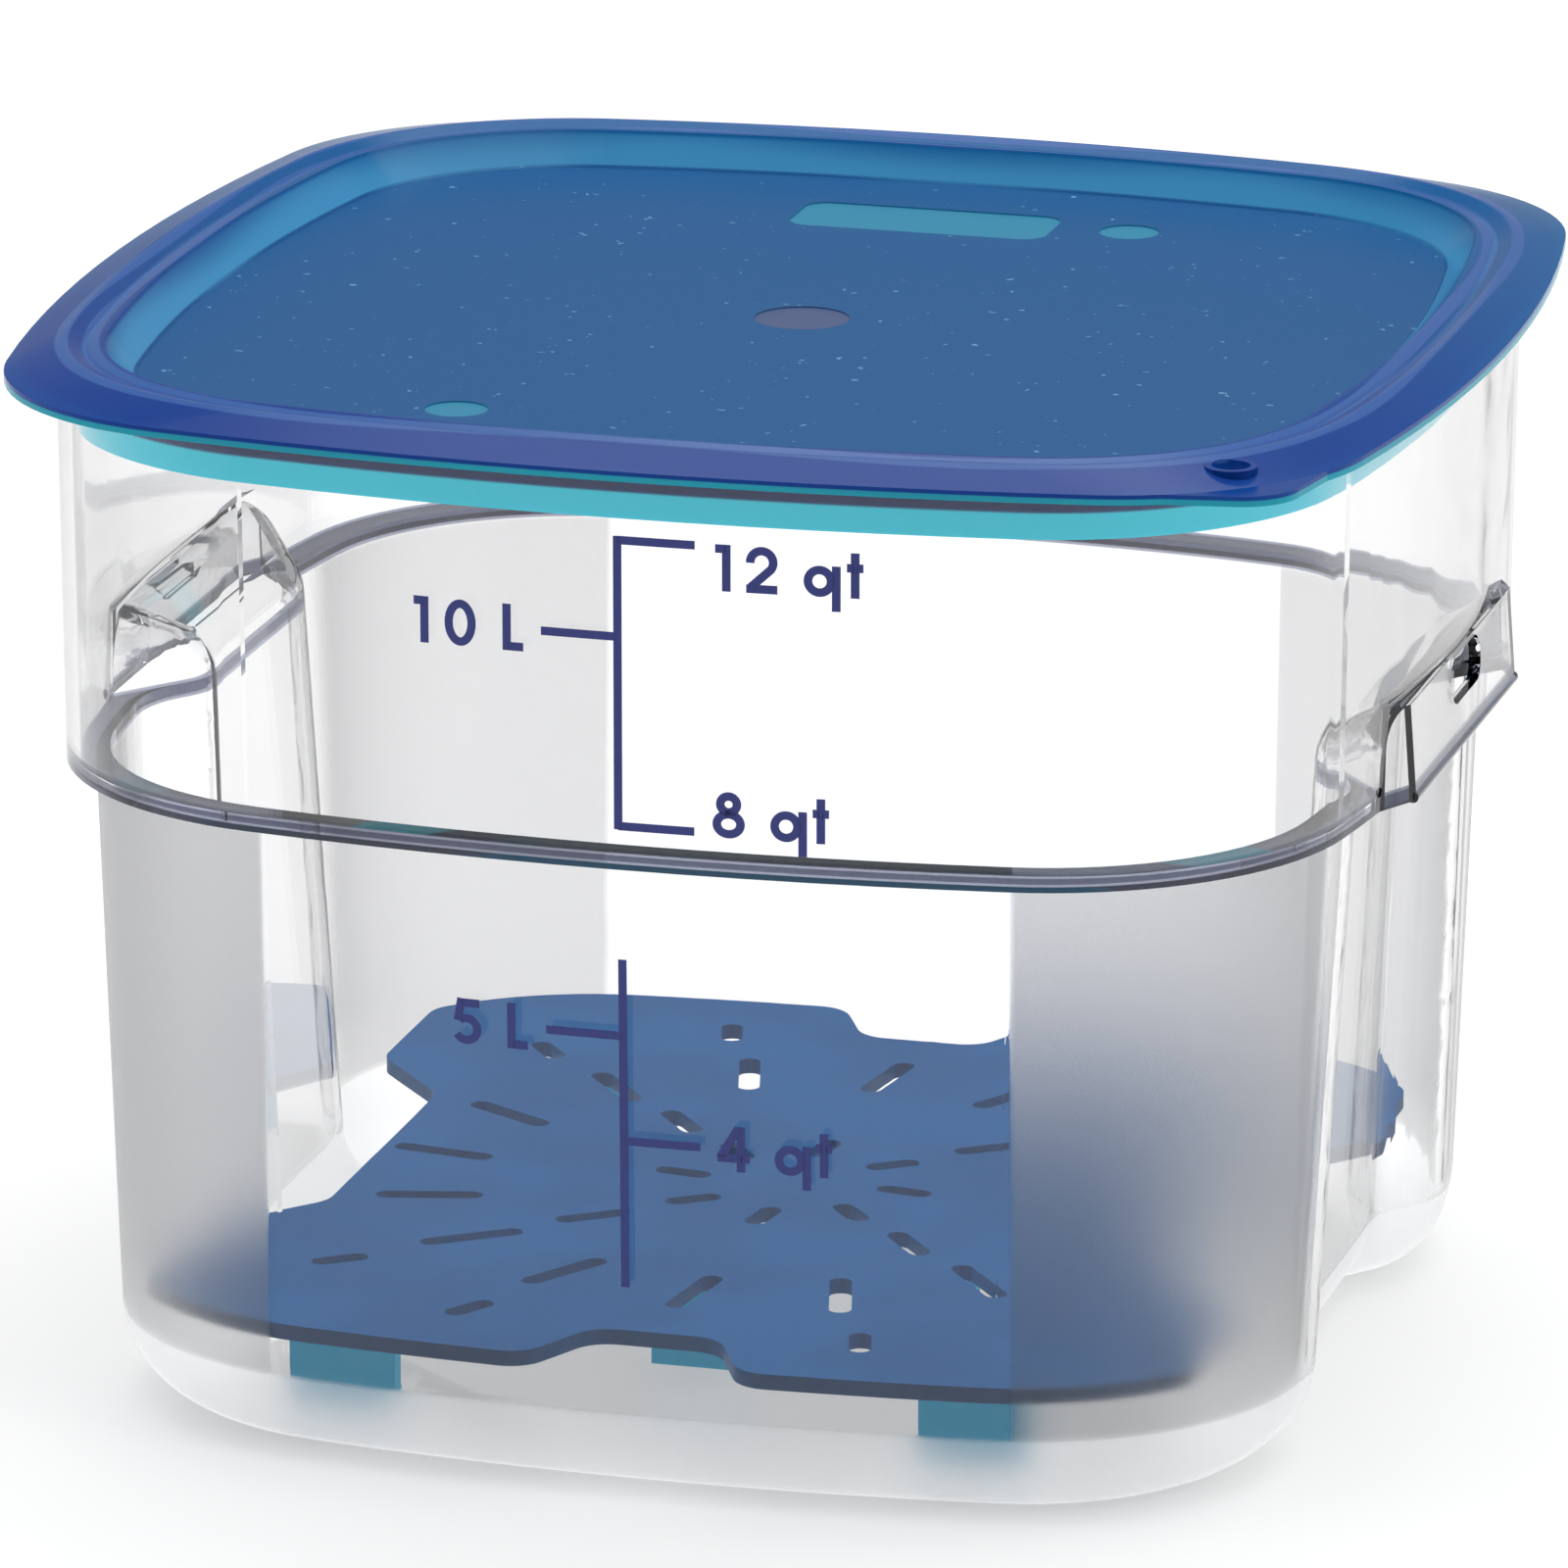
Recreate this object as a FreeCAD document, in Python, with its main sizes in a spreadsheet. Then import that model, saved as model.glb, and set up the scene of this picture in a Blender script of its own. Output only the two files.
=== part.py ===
import FreeCAD, Part
import math
import os

import Sketcher
from FreeCAD import Vector

# Square food storage container with a drain shelf and a press-on lid.
# Units are millimetres. The origin is the middle of the base, on the surface it stands on.
# Z is up, the graduated wall faces -Y and the two handles are on the X sides.

doc = FreeCAD.newDocument("food_storage_container")
sheet = doc.addObject("Spreadsheet::Sheet", "Sizes")

# Driving sizes: name, value and meaning.
SIZES = (
    ("wall", 2.8, "wall of the tub"),
    ("rim_height", 215.0, "top of the tub's rim above the table"),
    ("rim_half", 137.3, "half width of the tub at its rim, at the middle of a side"),
    ("ledge_half", 136.3, "half width of the upper section where it meets the ledge"),
    ("ledge_height", 133.3, "underside of the ledge"),
    ("ledge_thickness", 2.8, "floor of the ledge"),
    ("lower_top_half", 130.3, "half width of the lower section under the ledge"),
    ("lower_foot_half", 126.0, "half width of the lower section at the table"),
    ("side_bow", 515.0, "radius of the bowed sides"),
    ("upper_corner", 64.0, "corner radius of the upper section"),
    ("lower_corner", 58.0, "corner radius of the lower section"),
    ("foot_round", 20.0, "round between the walls and the base"),
    ("scoop_face_top", 119.0, "finger channel: its inner face at the handle root, from the middle"),
    ("scoop_face_foot", 111.5, "finger channel: its inner face at the table"),
    ("scoop_flat_top", 33.0, "half length of that face at the handle root"),
    ("scoop_flat_foot", 41.0, "half length of that face at the table"),
    ("scoop_angle", 52.0, "slant of the channel's sides, in degrees"),
    ("scoop_inner_round", 12.0, "round of the channel's inner corners"),
    ("scoop_mouth_round", 24.0, "round where the channel meets the side wall"),
    ("scoop_reach", 150.0, "how far out the channel's cutter goes"),
    ("roof_low", 141.0, "roof of the finger recess at its inner face"),
    ("roof_high", 153.6, "roof of the finger recess under the handle root"),
    ("roof_round", 9.0, "round between the recess roof and the faces below it"),
    ("hood_top", 152.8, "root of the handle above the table"),
    ("hood_root_out", 136.9, "handle face at its root, from the middle"),
    ("hood_foot_out", 138.4, "handle face at its free edge, from the middle"),
    ("hood_face_half", 46.0, "half length of the handle's flat face"),
    ("cheek_angle", 63.0, "slant of the handle's two cheeks, in degrees"),
    ("hood_seat", 127.0, "how far into the wall the hood is rooted"),
    ("hood_wall", 2.4, "thickness of the handle and its cheeks"),
    ("bead_size", 2.4, "bead along the handle's free edge"),
    ("slot_length", 27.0, "hole in the handle, end to end"),
    ("slot_width", 9.5, "hole in the handle, height"),
    ("slot_drop", 5.8, "middle of that hole below the handle root"),
    ("slot_shift", 3.0, "middle of that hole behind the middle of the handle"),
    ("rim_bevel", 0.8, "bevel of the rim's two edges"),
    ("lid_gap", 0.1, "clearance between the lid and the rim it rests on"),
    ("lip_half", 145.0, "half width of the lid's lip at the middle of a side"),
    ("lip_bow", 560.0, "radius of the lip's bowed sides"),
    ("lip_corner", 53.0, "corner radius of the lip"),
    ("lip_thickness", 2.0, "thickness of the lip at its edge"),
    ("lip_drop", 2.0, "underside of the lip's edge below the lid's seat"),
    ("lip_hollow", 1.4, "wall left outside the hollow under the lip"),
    ("seat_margin", 0.6, "flat seat beyond the outside of the rim"),
    ("crest_half", 136.0, "top of the lid's rim, from the middle"),
    ("crest_rise", 3.1, "top of the rim above the lid's seat"),
    ("crease_half", 131.9, "crease inside the rim, from the middle"),
    ("crease_rise", 1.9, "crease above the lid's seat"),
    ("ridge_half", 128.6, "second ridge, from the middle"),
    ("ridge_rise", 2.5, "second ridge above the lid's seat"),
    ("panel_half", 121.5, "half width of the lid's flat panel"),
    ("panel_drop", 4.3, "top of the panel below the lid's seat"),
    ("panel_thickness", 2.3, "thickness of the panel"),
    ("skirt_gap", 1.5, "clearance between the plug skirt and the tub's wall"),
    ("skirt_wall", 2.1, "thickness of the plug skirt"),
    ("skirt_depth", 12.2, "plug skirt below the lid's seat"),
    ("tab_reach", 129.2, "corner of the pull tab, from the middle on both axes"),
    ("tab_round", 12.0, "corner radius of the pull tab"),
    ("tab_edge", 60.0, "how far the tab's edges run along the lid"),
    ("tab_hole", 7.5, "hole in the pull tab"),
    ("tab_hole_at", 116.5, "middle of that hole, from the middle on both axes"),
    ("tab_ring", 10.4, "raised ring around that hole"),
    ("tab_ring_top", 2.4, "top of the raised ring above the lid's seat"),
    ("gate_disc", 19.4, "moulding gate dimple in the middle of the panel"),
    ("mark_disc", 12.6, "two small round pads on the panel"),
    ("mark_depth", 0.3, "depth of the dimple and pads"),
    ("mark_x", 45.5, "round pads from the middle, along X"),
    ("mark_y", 90.5, "round pads from the middle, along Y"),
    ("label_width", 55.0, "rounded label pad along X"),
    ("label_depth", 21.5, "rounded label pad along Y"),
    ("label_round", 5.0, "corner radius of the label pad"),
    ("label_x", 2.3, "middle of the label pad along X"),
    ("label_y", 88.6, "middle of the label pad along Y"),
    ("shelf_top", 28.3, "top of the drain shelf above the table"),
    ("shelf_plate", 3.2, "thickness of the shelf's plate"),
    ("shelf_half", 121.6, "half depth of the plate at the middle of its front"),
    ("shelf_bow", 600.0, "radius of the plate's bowed front and back"),
    ("ear_half", 106.4, "half width of the plate across its ears"),
    ("ear_corner", 56.0, "corner radius of the plate"),
    ("ear_start", 60.0, "where an ear ends along Y"),
    ("waist_half", 88.0, "half width of the plate between its ears"),
    ("waist_length", 38.0, "half length of the narrow stretch"),
    ("ear_round", 9.0, "rounds between ears and waist"),
    ("notch_half", 13.0, "half width of the finger notch at its inner end"),
    ("notch_mouth", 22.0, "half width of the finger notch at the plate's edge"),
    ("notch_depth", 19.5, "depth of the finger notch"),
    ("notch_round", 8.0, "rounds of the finger notch"),
    ("drain_slot", 4.6, "width of a drain slot"),
    ("ring_one", 23.5, "radius of the first ring of slots"),
    ("ring_two", 47.0, "radius of the second ring"),
    ("ring_three", 75.0, "radius of the third ring"),
    ("ring_four", 105.0, "radius of the fourth ring"),
    ("short_slot", 12.0, "length of a short slot"),
    ("middle_slot", 16.0, "length of a slot in the second ring"),
    ("long_slot", 22.0, "length of a slot in the third ring"),
    ("slot_twist", -8.0, "turn of each slot from the radius, in degrees"),
    ("leg_width", 22.0, "width of a leg"),
    ("leg_wall", 2.3, "thickness of a leg"),
    ("leg_flange", 8.0, "depth of a leg's two flanges"),
    ("leg_flange_at", 8.6, "flanges from the middle of the leg"),
    ("shelf_shift", -1.0, "how far the shelf lies off the middle, along X"),
    ("leg_shift", -2.5, "how far the front legs stand off their even places, along X"),
    ("leg_x", 65.0, "outer legs from the middle, along X"),
    ("leg_y", 94.6, "outer legs' faces from the middle, along Y"),
    ("inner_leg_x", 3.2, "inner legs from the middle, along X"),
    ("inner_leg_y", 47.5, "inner legs' faces from the middle, along Y"),
    ("rib_at", 49.5, "short ribs under the plate, from the middle on both axes"),
    ("rib_length", 12.0, "length of a short rib"),
    ("rib_width", 2.7, "width of a short rib"),
    ("rib_depth", 4.5, "depth of a short rib below the plate"),
)

for row, (alias, value, meaning) in enumerate(SIZES, start=1):
    sheet.set("A%d" % row, alias)
    sheet.set("B%d" % row, str(value))
    sheet.set("C%d" % row, meaning)
    sheet.setAlias("B%d" % row, alias)
doc.recompute()


def value(expression):
    """Number that an expression on the sheet gives now."""
    result = sheet.evalExpression(expression)
    return float(getattr(result, "Value", result))


def plane(body, role):
    """One of the body's own origin planes."""
    for feature in body.Origin.OriginFeatures:
        if feature.Role == role:
            return feature
    raise RuntimeError("no plane " + role)


def new_body(name):
    body = doc.addObject("PartDesign::Body", name)
    body.Label = name
    return body


def new_sketch(body, name, role="XY_Plane", height=None):
    """Sketch on an origin plane, lifted off it by the height expression."""
    sketch = body.newObject("Sketcher::SketchObject", name)
    sketch.AttachmentSupport = [(plane(body, role), "")]
    sketch.MapMode = "FlatFace"
    if height is not None:
        sketch.setExpression("AttachmentOffset.Base.z", height)
    return sketch


def bind(sketch, kind, geometry, expression):
    """Dimension on a sketch whose value comes from the sheet."""
    index = sketch.addConstraint(Sketcher.Constraint(kind, *geometry, value(expression)))
    sketch.setExpression("Constraints[%d]" % index, expression)
    return index


def arc(x, y, radius, start, end):
    circle = Part.Circle(Vector(x, y, 0), Vector(0, 0, 1), radius)
    return Part.ArcOfCircle(circle, start, end)


def bowed_square(body, name, height, half, bow, corner):
    """Square with bowed sides: the side arcs run tangent into the corner arcs."""
    a, big, r = value(half), value(bow), value(corner)
    back = big - a
    c = (-back + math.sqrt(2.0 * (big - r) ** 2 - back ** 2)) / 2.0
    turn = math.atan2(c, c + back)
    quarter = math.pi / 2.0
    sketch = new_sketch(body, name, height=height)
    for side in range(4):
        facing = side * quarter
        cx, cy = -back * math.cos(facing), -back * math.sin(facing)
        kx = c * (math.cos(facing) - math.sin(facing))
        ky = c * (math.sin(facing) + math.cos(facing))
        sketch.addGeometry(arc(cx, cy, big, facing - turn, facing + turn))
        sketch.addGeometry(arc(kx, ky, r, facing + turn, facing + quarter - turn))
    for i in range(8):
        sketch.addConstraint(Sketcher.Constraint("Tangent", i, 2, (i + 1) % 8, 1))
    for i in (2, 4, 6):
        sketch.addConstraint(Sketcher.Constraint("Equal", 0, i))
        sketch.addConstraint(Sketcher.Constraint("Equal", 1, i + 1))
    for i, axis in ((0, -1), (4, -1), (2, -2), (6, -2)):
        sketch.addConstraint(Sketcher.Constraint("PointOnObject", i, 3, axis))
    bind(sketch, "Radius", (0,), bow)
    bind(sketch, "Radius", (1,), corner)
    offset = "(%s) - (%s)" % (bow, half)
    bind(sketch, "DistanceX", (0, 3, -1, 1), offset)
    bind(sketch, "DistanceX", (-1, 1, 4, 3), offset)
    bind(sketch, "DistanceY", (2, 3, -1, 1), offset)
    bind(sketch, "DistanceY", (-1, 1, 6, 3), offset)
    return sketch


def polygon(sketch, corners):
    """Closed outline through corners given as pairs of expressions, fully dimensioned."""
    first = sketch.GeometryCount
    points = [Vector(value(x), value(y), 0) for x, y in corners]
    count = len(points)
    for i in range(count):
        sketch.addGeometry(Part.LineSegment(points[i], points[(i + 1) % count]))
    for i in range(count):
        after = first + (i + 1) % count
        sketch.addConstraint(Sketcher.Constraint("Coincident", first + i, 2, after, 1))
    for i, (x, y) in enumerate(corners):
        for kind, expression in (("DistanceX", x), ("DistanceY", y)):
            bind(sketch, kind, (-1, 1, first + i, 1), expression)
    return sketch


def loft(body, name, first, second, kind="Additive"):
    feature = body.newObject("PartDesign::%sLoft" % kind, name)
    feature.Profile = first
    feature.Sections = [second]
    feature.Ruled = True
    doc.recompute()
    return feature


def tub_form(name, skin, ledge, bevel):
    """Outer form of the tub, or the form of its cavity, which is the same one skin smaller."""
    body = new_body(name)
    less = " - (%s)" % skin
    foot = bowed_square(body, name + "_foot", skin, "Sizes.lower_foot_half" + less,
                        "Sizes.side_bow" + less, "Sizes.lower_corner" + less)
    under = bowed_square(body, name + "_under_ledge", ledge, "Sizes.lower_top_half" + less,
                         "Sizes.side_bow" + less, "Sizes.lower_corner" + less)
    over = bowed_square(body, name + "_over_ledge", ledge, "Sizes.ledge_half" + less,
                        "Sizes.side_bow" + less, "Sizes.upper_corner" + less)
    rim = bowed_square(body, name + "_rim", "Sizes.rim_height - Sizes.rim_bevel", "Sizes.rim_half" + less,
                       "Sizes.side_bow" + less, "Sizes.upper_corner" + less)
    less = less + bevel
    top = bowed_square(body, name + "_top", "Sizes.rim_height", "Sizes.rim_half" + less,
                       "Sizes.side_bow" + less, "Sizes.upper_corner" + less)
    loft(body, name + "_lower", foot, under)
    loft(body, name + "_upper", over, rim)
    loft(body, name + "_rim_bevel", rim, top)
    return body


def mirrored(source, name):
    """The same solid on the other side of the YZ plane."""
    copy = doc.addObject("Part::Mirroring", name)
    copy.Source = source
    copy.Normal = Vector(1, 0, 0)
    return copy


def fuse(name, parts):
    joined = doc.addObject("Part::MultiFuse", name)
    joined.Shapes = parts
    joined.Refine = True
    return joined


def cut(name, base, tool):
    rest = doc.addObject("Part::Cut", name)
    rest.Base = base
    rest.Tool = tool
    rest.Refine = True
    doc.recompute()
    return rest


def edges(obj, test):
    """Names of the edges whose middle point and direction pass the test."""
    found = []
    for i, edge in enumerate(obj.Shape.Edges, start=1):
        if edge.Length < 0.01:
            continue
        middle = edge.valueAt((edge.FirstParameter + edge.LastParameter) / 2.0)
        along = edge.tangentAt((edge.FirstParameter + edge.LastParameter) / 2.0)
        if test(middle, along):
            found.append("Edge%d" % i)
    return found


def fillet(body, name, test, radius):
    """Round on the body's last feature, over the edges that pass the test."""
    base = body.Tip
    feature = body.newObject("PartDesign::Fillet", name)
    feature.Base = (base, edges(base, test))
    feature.setExpression("Radius", radius)
    doc.recompute()
    return feature


def body_on(base, name):
    """Body that goes on from a finished solid."""
    body = new_body(name)
    body.BaseFeature = base
    doc.recompute()
    return body


ROOF_SLOPE = "atan((Sizes.roof_high - Sizes.roof_low) / (Sizes.hood_root_out - Sizes.scoop_face_top))"
ROUND_OFF = "(1 - sin(%s)) / cos(%s)"


def side_scoop(name, skin):
    """Finger channel at +X up to the recess roof, or the same one skin larger for the cavity."""
    body = new_body(name)
    slant = "(Sizes.scoop_angle * 1 deg)"
    wider = " + (%s) * %s" % (skin, ROUND_OFF % (slant, slant))

    def plan(part, height, face, flat):
        face = "%s - (%s)" % (face, skin)
        flat = flat + wider
        reach = "Sizes.scoop_reach"
        mouth = "%s + (%s - (%s)) * tan(%s)" % (flat, reach, face, slant)
        sketch = new_sketch(body, name + part, height=height)
        return polygon(sketch, ((face, "-(%s)" % flat), (reach, "-(%s)" % mouth),
                                (reach, mouth), (face, flat)))

    foot = plan("_foot", "0", "Sizes.scoop_face_foot", "Sizes.scoop_flat_foot")
    top = plan("_top", "Sizes.hood_top", "Sizes.scoop_face_top", "Sizes.scoop_flat_top")
    loft(body, name + "_channel", foot, top)
    lift = "(%s) / cos(%s)" % (skin, ROOF_SLOPE)
    rise = "tan(%s)" % ROOF_SLOPE
    near = "Sizes.scoop_face_top - 30"
    far = "Sizes.scoop_reach + 5"
    above = new_sketch(body, name + "_above_roof", role="XZ_Plane")
    polygon(above, ((near, "Sizes.roof_low + %s - 30 * %s" % (lift, rise)),
                    (far, "Sizes.roof_high + %s + (%s - Sizes.hood_root_out) * %s" % (lift, far, rise)),
                    (far, "Sizes.hood_top + 60"),
                    (near, "Sizes.hood_top + 60")))
    trim = body.newObject("PartDesign::Pocket", name + "_roof")
    trim.Profile = above
    trim.Type = "ThroughAll"
    trim.Midplane = True
    doc.recompute()
    inner = value("Sizes.scoop_face_top")

    def corner(middle, along):
        return abs(along.z) > 0.9 and middle.x < inner

    def roof_edge(middle, along):
        return middle.z > value("Sizes.roof_low") - 5 and middle.x < value("Sizes.scoop_reach") - 2

    fillet(body, name + "_corners", corner, "Sizes.scoop_inner_round + (%s)" % skin)
    fillet(body, name + "_roof_edge", roof_edge, "Sizes.roof_round + (%s)" % skin)
    return body


def hood_form(name, skin, bottom):
    """Handle hood at +X: a flat slanted face between two cheeks, rooted in the wall."""
    body = new_body(name)
    slant = "(Sizes.cheek_angle * 1 deg)"

    def plan(part, height, out):
        out = "%s - (%s)" % (out, skin)
        face = "Sizes.hood_face_half - (%s) * %s" % (skin, ROUND_OFF % (slant, slant))
        seat = "Sizes.hood_seat - (%s) * 10" % skin
        root = "%s + (%s - (%s)) * tan(%s)" % (face, out, seat, slant)
        sketch = new_sketch(body, name + part, height=height)
        return polygon(sketch, ((seat, "-(%s)" % root), (out, "-(%s)" % face),
                                (out, face), (seat, root)))

    foot = plan("_foot", bottom, "Sizes.hood_foot_out")
    root = plan("_root", "Sizes.hood_top", "Sizes.hood_root_out")
    loft(body, name + "_face", foot, root)
    return body


def obround(sketch, cx, cy, length, width):
    """Slot outline lying along the sketch's X, fully dimensioned."""
    x, y = value(cx), value(cy)
    straight = (value(length) - value(width)) / 2.0
    r = value(width) / 2.0
    half = math.pi / 2.0
    sketch.addGeometry(arc(x + straight, y, r, -half, half))
    sketch.addGeometry(Part.LineSegment(Vector(x + straight, y + r, 0), Vector(x - straight, y + r, 0)))
    sketch.addGeometry(arc(x - straight, y, r, half, 3.0 * half))
    sketch.addGeometry(Part.LineSegment(Vector(x - straight, y - r, 0), Vector(x + straight, y - r, 0)))
    for i in range(4):
        sketch.addConstraint(Sketcher.Constraint("Tangent", i, 2, (i + 1) % 4, 1))
    sketch.addConstraint(Sketcher.Constraint("Horizontal", 1))
    bind(sketch, "Radius", (0,), "(%s) / 2" % width)
    bind(sketch, "DistanceX", (2, 3, 0, 3), "(%s) - (%s)" % (length, width))
    bind(sketch, "DistanceX", (-1, 1, 0, 3), "(%s) + ((%s) - (%s)) / 2" % (cx, length, width))
    bind(sketch, "DistanceY", (-1, 1, 0, 3), cy)
    return sketch


def pad(body, name, sketch, length, midplane=False, reverse=False):
    feature = body.newObject("PartDesign::Pad", name)
    feature.Profile = sketch
    feature.Midplane = midplane
    feature.Reversed = reverse
    feature.setExpression("Length", length)
    doc.recompute()
    return feature


def pocket(body, name, sketch, length, reverse=False):
    """Pocket below the sketch, or above it when reversed. It has to take something away."""
    before = body.Tip.Shape.Volume
    feature = body.newObject("PartDesign::Pocket", name)
    feature.Profile = sketch
    feature.Reversed = reverse
    feature.setExpression("Length", length)
    doc.recompute()
    if feature.Shape.Volume >= before:
        raise RuntimeError(name + " cuts nothing")
    return feature


# Tub: an outer form with its hoods, less the finger scoops, less the cavity.
outer = tub_form("outer_form", "0", "Sizes.ledge_height", " - Sizes.rim_bevel")
cavity = tub_form("cavity_form", "Sizes.wall", "Sizes.ledge_height + Sizes.ledge_thickness",
                  " + Sizes.rim_bevel")
scoop = side_scoop("finger_scoop", "0")
scoop_skin = side_scoop("finger_scoop_skin", "Sizes.wall")
hood = hood_form("handle_hood", "0", "Sizes.ledge_height")
hood_inside = hood_form("handle_hood_inside", "Sizes.hood_wall", "Sizes.ledge_height - 1")

# Under the ledge the channel is open to the side, above it only the space inside the hood is.
under_ledge = doc.addObject("Part::Box", "under_ledge")
under_ledge.setExpression("Length", "Sizes.scoop_reach - Sizes.scoop_face_foot / 2")
under_ledge.setExpression("Width", "2 * Sizes.scoop_reach")
under_ledge.setExpression("Height", "Sizes.ledge_height + 1")
under_ledge.setExpression("Placement.Base.x", "Sizes.scoop_face_foot / 2")
under_ledge.setExpression("Placement.Base.y", "-Sizes.scoop_reach")
under_ledge.setExpression("Placement.Base.z", "-1")
open_space = fuse("open_space", [under_ledge, hood_inside])
finger_space = doc.addObject("Part::MultiCommon", "finger_space")
finger_space.Shapes = [scoop, open_space]

hole_body = new_body("handle_hole")
hole_start = "Sizes.hood_root_out - Sizes.hood_wall - 0.6"
hole_sketch = new_sketch(hole_body, "handle_hole_outline", role="YZ_Plane", height=hole_start)
obround(hole_sketch, "Sizes.slot_shift", "Sizes.hood_top - Sizes.slot_drop",
        "Sizes.slot_length", "Sizes.slot_width")
pad(hole_body, "handle_hole_pad", hole_sketch, "Sizes.scoop_reach - Sizes.hood_seat")

bead_body = new_body("handle_bead")
bead_sketch = new_sketch(bead_body, "handle_bead_section", role="XZ_Plane")
bead_sketch.addGeometry(Part.Circle(Vector(value("Sizes.hood_foot_out"), value("Sizes.ledge_height"), 0),
                                    Vector(0, 0, 1), value("Sizes.bead_size") / 2))
bind(bead_sketch, "Radius", (0,), "Sizes.bead_size / 2")
bind(bead_sketch, "DistanceX", (-1, 1, 0, 3), "Sizes.hood_foot_out - Sizes.bead_size / 2 + 0.5")
bind(bead_sketch, "DistanceY", (-1, 1, 0, 3), "Sizes.ledge_height + Sizes.bead_size / 2 - 0.5")
pad(bead_body, "handle_bead_length", bead_sketch, "2 * Sizes.hood_face_half + 1", midplane=True)

doc.recompute()
outer_hooded = fuse("outer_hooded", [outer, hood, mirrored(hood, "handle_hood_left")])
finger_space_left = mirrored(finger_space, "finger_space_left")
both_spaces = fuse("both_spaces", [finger_space, finger_space_left])
outside_cut = cut("outside_cut", outer_hooded, both_spaces)
both_skins = fuse("both_skins", [scoop_skin, mirrored(scoop_skin, "finger_scoop_skin_left")])
cavity_cut = cut("cavity_cut", cavity, both_skins)


def round_lower(base, name, skin):
    """Rounds shared by the outside and the cavity: channel mouths, then the foot."""
    body = body_on(base, name)
    ledge = value("Sizes.ledge_height")
    inner = value("Sizes.scoop_face_top")

    def mouth(middle, along):
        return abs(along.z) > 0.9 and middle.z < ledge - 5 and abs(middle.x) > inner

    def foot(middle, along):
        return abs(middle.z - value(skin)) < 0.01

    fillet(body, name + "_mouths", mouth, "Sizes.scoop_mouth_round - (%s)" % skin)
    fillet(body, name + "_foot", foot, "Sizes.foot_round - (%s)" % skin)
    return body


outside = round_lower(outside_cut, "outside_rounded", "0")
inside = round_lower(cavity_cut, "cavity_rounded", "Sizes.wall")
shell = cut("tub_shell", outside, inside)
beaded = fuse("beaded_shell", [shell, bead_body, mirrored(bead_body, "handle_bead_left")])
holes = fuse("both_handle_holes", [hole_body, mirrored(hole_body, "handle_hole_left")])
pierced = cut("pierced_shell", beaded, holes)
container = body_on(pierced, "container_body")


# Lid: a block with a lip, raised crest and ridge, sunken panel and hollow plug skirt.
SEAT = "(Sizes.rim_height + Sizes.lid_gap)"
SKIRT_OUT = "(Sizes.rim_half - Sizes.wall - Sizes.skirt_gap)"
PANEL_UNDER = "(%s - Sizes.panel_drop - Sizes.panel_thickness)" % SEAT
GROOVE_TOP = "(%s + Sizes.crease_rise - Sizes.skirt_wall)" % SEAT


def ring(body, name, height, half):
    """Outline that runs beside the tub's rim at the given half width."""
    less = " - (Sizes.rim_half - (%s))" % half
    return bowed_square(body, name, height, half, "Sizes.side_bow" + less, "Sizes.upper_corner" + less)


lid_form = new_body("lid_form")
LIP = ("Sizes.lip_half", "Sizes.lip_bow", "Sizes.lip_corner")
lip = bowed_square(lid_form, "lid_lip_outline", SEAT + " - Sizes.lip_drop", *LIP)
pad(lid_form, "lid_lip", lip, "Sizes.lip_thickness")
tab = new_sketch(lid_form, "lid_tab_outline", height=SEAT + " - Sizes.lip_drop")
tab_foot = "(Sizes.lip_half - Sizes.tab_edge ^ 2 / 2 / Sizes.lip_bow - 0.5)"
polygon(tab, (("Sizes.tab_edge", "-" + tab_foot), ("Sizes.tab_reach", "-Sizes.tab_reach"),
              (tab_foot, "-Sizes.tab_edge"), ("Sizes.tab_edge", "-Sizes.tab_edge")))
pad(lid_form, "lid_tab", tab, "Sizes.lip_thickness")


def at_tab_corner(middle, along):
    reach = value("Sizes.tab_reach")
    return abs(along.z) > 0.9 and abs(middle.x - reach) < 0.01 and abs(middle.y + reach) < 0.01


fillet(lid_form, "lid_tab_corner", at_tab_corner, "Sizes.tab_round")
loft(lid_form, "lid_crest",
     bowed_square(lid_form, "lid_crest_foot", SEAT + " - Sizes.lip_drop + Sizes.lip_thickness", *LIP),
     ring(lid_form, "lid_crest_top", SEAT + " + Sizes.crest_rise", "Sizes.crest_half"))
inset = [size + " - Sizes.lip_hollow" for size in LIP]
loft(lid_form, "lid_lip_hollow",
     bowed_square(lid_form, "lid_hollow_foot", SEAT + " - Sizes.lip_drop", *inset),
     ring(lid_form, "lid_hollow_top", SEAT, "Sizes.rim_half + Sizes.seat_margin"),
     "Subtractive")
plug = ring(lid_form, "lid_plug_outline", SEAT + " - Sizes.skirt_depth", SKIRT_OUT)
pad(lid_form, "lid_plug", plug, "Sizes.skirt_depth + Sizes.crease_rise")
loft(lid_form, "lid_crease",
     ring(lid_form, "lid_crease_top", SEAT + " + Sizes.crest_rise", "Sizes.crest_half - 0.8"),
     ring(lid_form, "lid_crease_floor", SEAT + " + Sizes.crease_rise", "Sizes.crease_half"),
     "Subtractive")
loft(lid_form, "lid_ridge",
     ring(lid_form, "lid_ridge_foot", SEAT + " + Sizes.crease_rise", "Sizes.crease_half - 0.6"),
     ring(lid_form, "lid_ridge_top", SEAT + " + Sizes.ridge_rise", "Sizes.ridge_half"))
loft(lid_form, "lid_slope",
     ring(lid_form, "lid_slope_top", SEAT + " + Sizes.ridge_rise", "Sizes.ridge_half - 0.8"),
     ring(lid_form, "lid_panel_edge", SEAT + " - Sizes.panel_drop", "Sizes.panel_half"),
     "Subtractive")
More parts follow.
